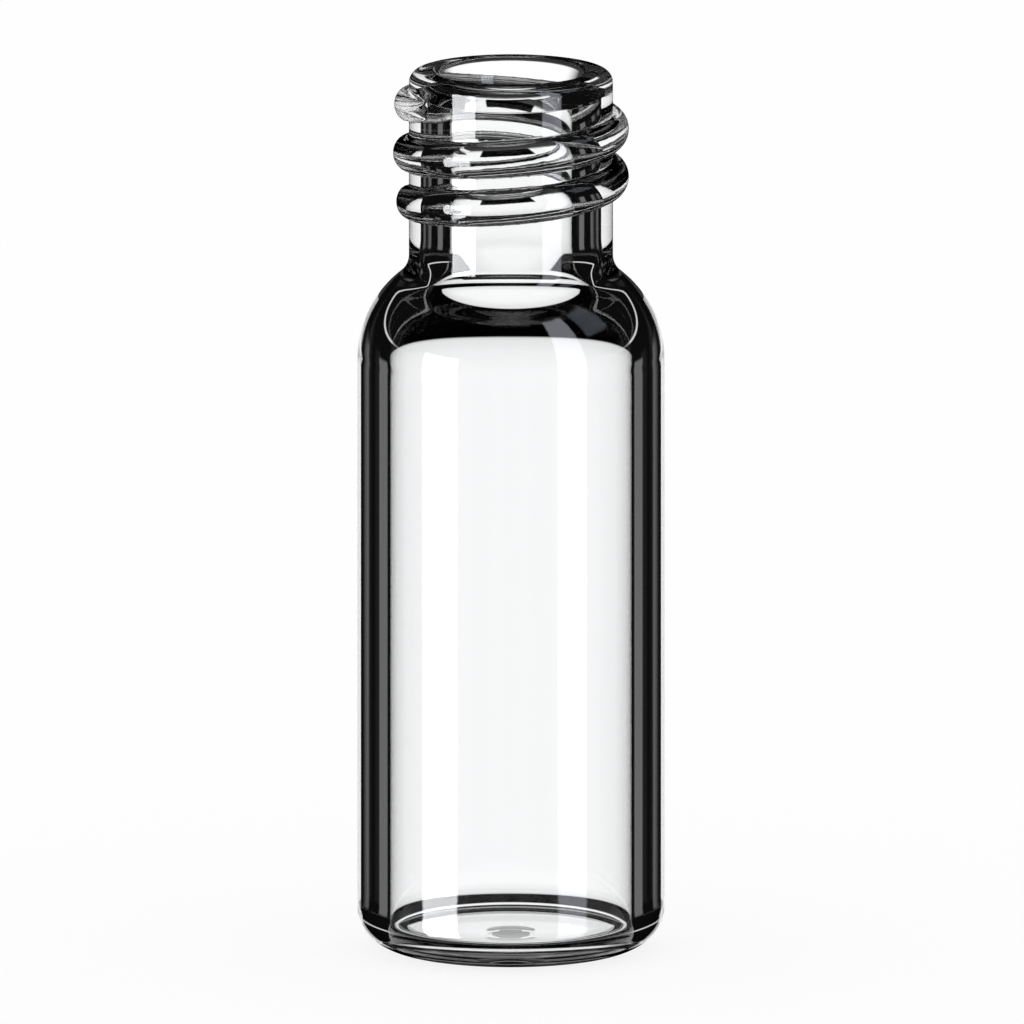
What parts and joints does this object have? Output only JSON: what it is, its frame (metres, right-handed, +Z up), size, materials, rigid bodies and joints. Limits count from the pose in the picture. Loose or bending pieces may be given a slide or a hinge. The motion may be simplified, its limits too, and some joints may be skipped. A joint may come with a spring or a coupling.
{
  "type": "glass sample vial",
  "caption": "Clear glass sample vial with a screw-thread neck, round shoulder, straight tube body and flat foot.",
  "frame": {"origin": "centre of the foot, on the surface that the vial stands on", "axes": "+Z up along the vial's axis, out of the mouth; the thread's front rises towards +X as seen from -Y"},
  "size_m": [0.0116, 0.0116, 0.0336],
  "materials": {
    "clear_glass": "clear, fire-polished"
  },
  "bodies": {
    "root": {"vial": "clear_glass"}
  },
  "joints": []
}
